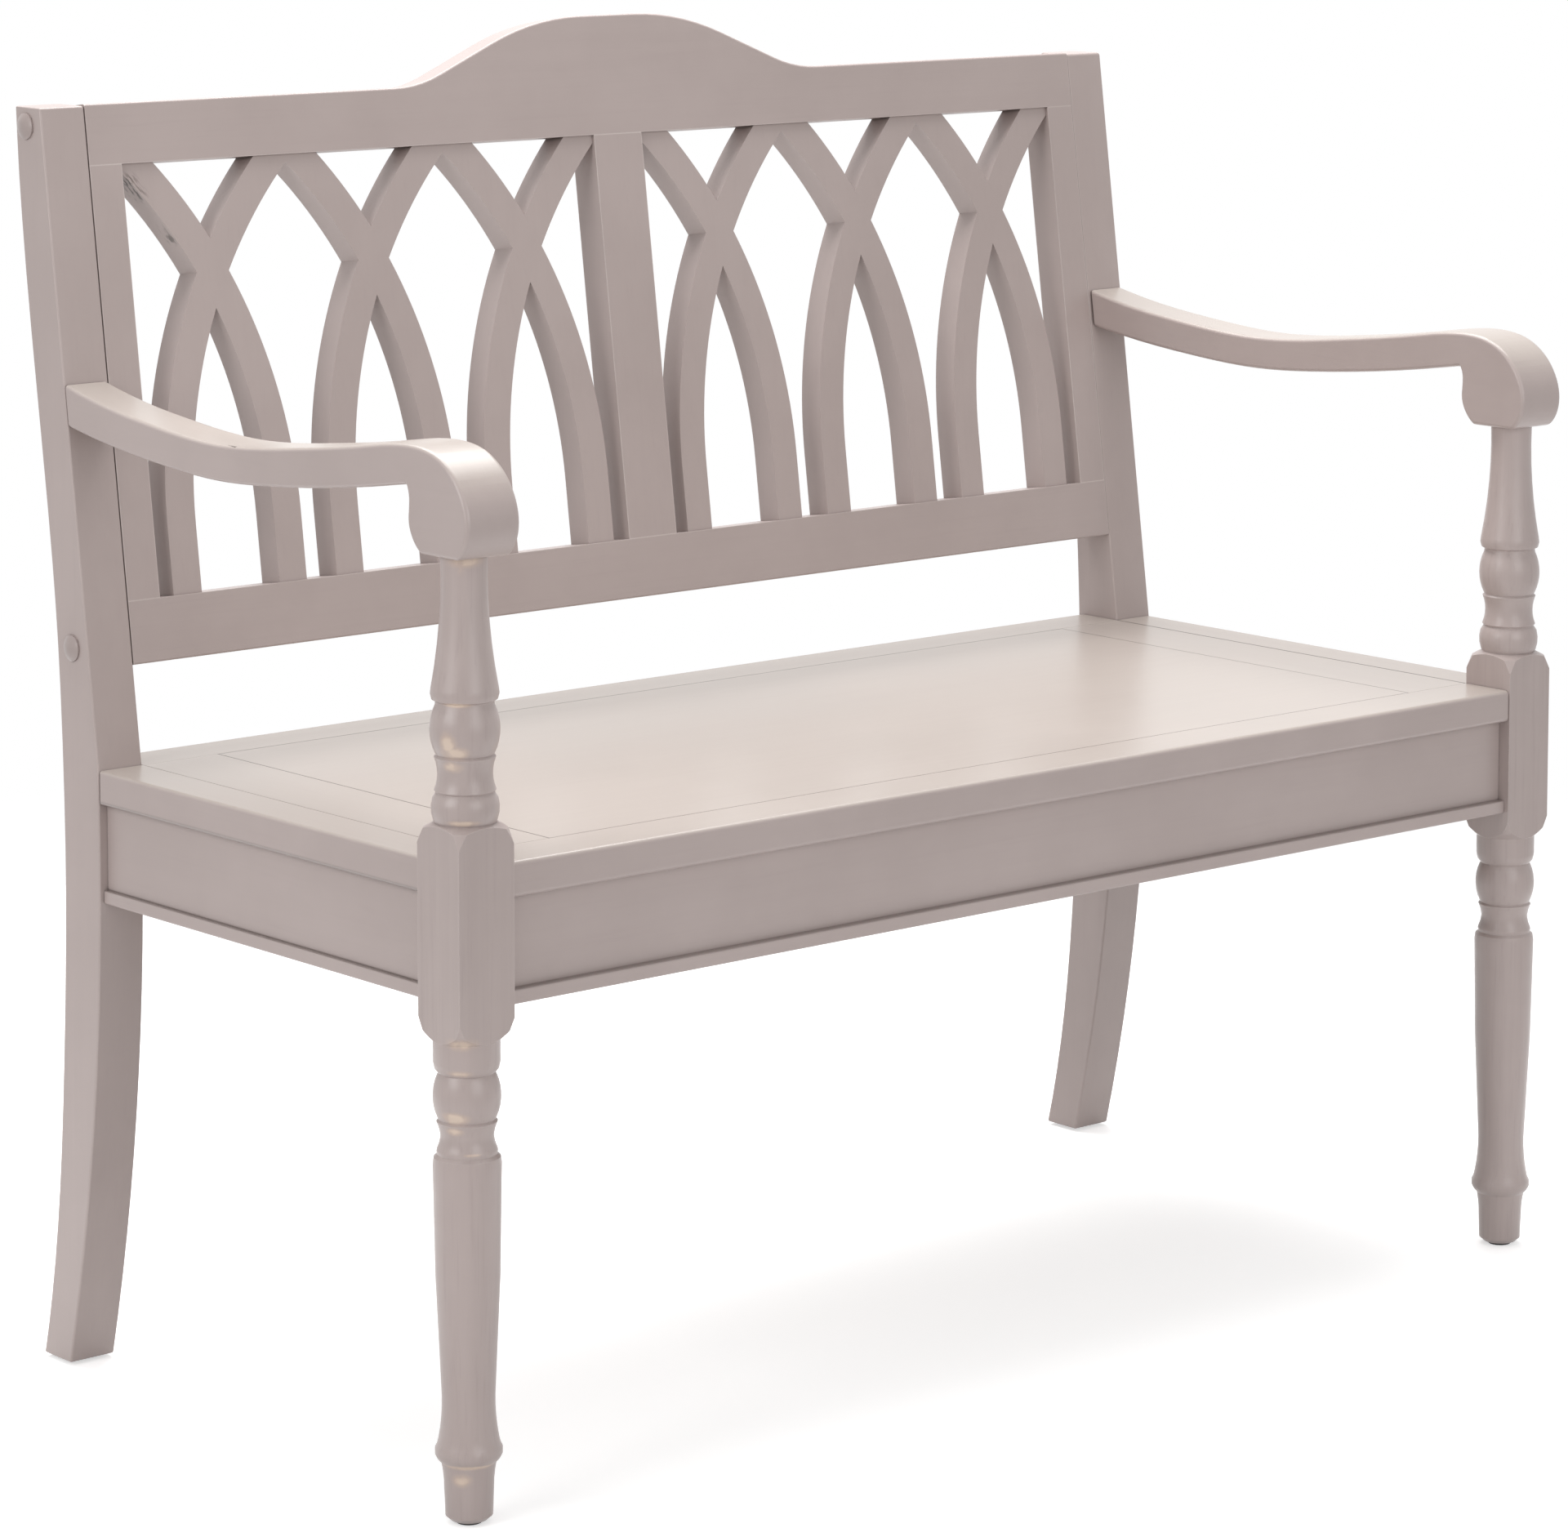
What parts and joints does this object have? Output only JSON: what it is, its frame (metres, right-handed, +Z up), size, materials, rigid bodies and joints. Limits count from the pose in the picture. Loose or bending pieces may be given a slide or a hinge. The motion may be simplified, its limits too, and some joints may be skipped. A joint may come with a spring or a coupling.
{
  "type": "deacons bench",
  "caption": "Two-seat deacons bench with turned front legs, scrolled arms, a framed plank seat and a raked back of crossing pointed arches.",
  "frame": {"origin": "centre of the bench's outline on the floor", "axes": "+X along the bench to the viewer's right, -Y to the front, +Z up"},
  "size_m": [1.0874, 0.5588, 0.9884],
  "materials": {
    "paint_posts": "satin taupe-grey paint with light wear",
    "paint_legs": "satin taupe-grey paint with light wear",
    "paint_arms": "satin taupe-grey paint with light wear",
    "paint_frame": "satin taupe-grey paint with light wear",
    "paint_lattice": "satin taupe-grey paint with light wear",
    "paint_seat": "satin taupe-grey paint with light wear",
    "paint_aprons": "satin taupe-grey paint with light wear",
    "paint_mouldings": "satin taupe-grey paint with light wear",
    "paint_covers": "satin taupe-grey paint with light wear",
    "bare_wood": "planed, unpainted",
    "zinc_steel": "zinc plated",
    "dark_glide": "matt"
  },
  "bodies": {
    "root": {"arm_left": "paint_arms", "arm_right": "paint_arms", "arm_tenons": "bare_wood", "back_apron": "paint_aprons", "back_bolts": "zinc_steel", "back_mullion": "paint_frame", "back_stile_left": "paint_frame", "back_stile_right": "paint_frame", "barrel_nuts": "zinc_steel", "bolt_covers": "paint_covers", "corner_blocks": "bare_wood", "corner_bolts": "zinc_steel", "crest_rail": "paint_frame", "end_cleats": "bare_wood", "floor_glides": "dark_glide", "front_apron": "paint_aprons", "front_leg_left": "paint_legs", "front_leg_right": "paint_legs", "front_moulding": "paint_mouldings", "lattice_bar_1a": "paint_lattice", "lattice_bar_1b": "paint_lattice", "lattice_bar_2a": "paint_lattice", "lattice_bar_2b": "paint_lattice", "lattice_bar_3a": "paint_lattice", "lattice_bar_3b": "paint_lattice", "lattice_bar_4a": "paint_lattice", "lattice_bar_4b": "paint_lattice", "lattice_bar_5a": "paint_lattice", "lattice_bar_5b": "paint_lattice", "lattice_bar_6a": "paint_lattice", "lattice_bar_6b": "paint_lattice", "lattice_tenons": "bare_wood", "long_cleats": "bare_wood", "lower_back_rail": "paint_frame", "rear_post_left": "paint_posts", "rear_post_right": "paint_posts", "seat_back_rail": "paint_seat", "seat_bearer": "bare_wood", "seat_end_strip_left": "paint_seat", "seat_end_strip_right": "paint_seat", "seat_front_rail": "paint_seat", "seat_panel": "paint_seat", "seat_screws": "zinc_steel", "seat_stile_left": "paint_seat", "seat_stile_right": "paint_seat", "side_apron_left": "paint_aprons", "side_apron_right": "paint_aprons", "side_moulding_left": "paint_mouldings", "side_moulding_right": "paint_mouldings"}
  },
  "joints": []
}
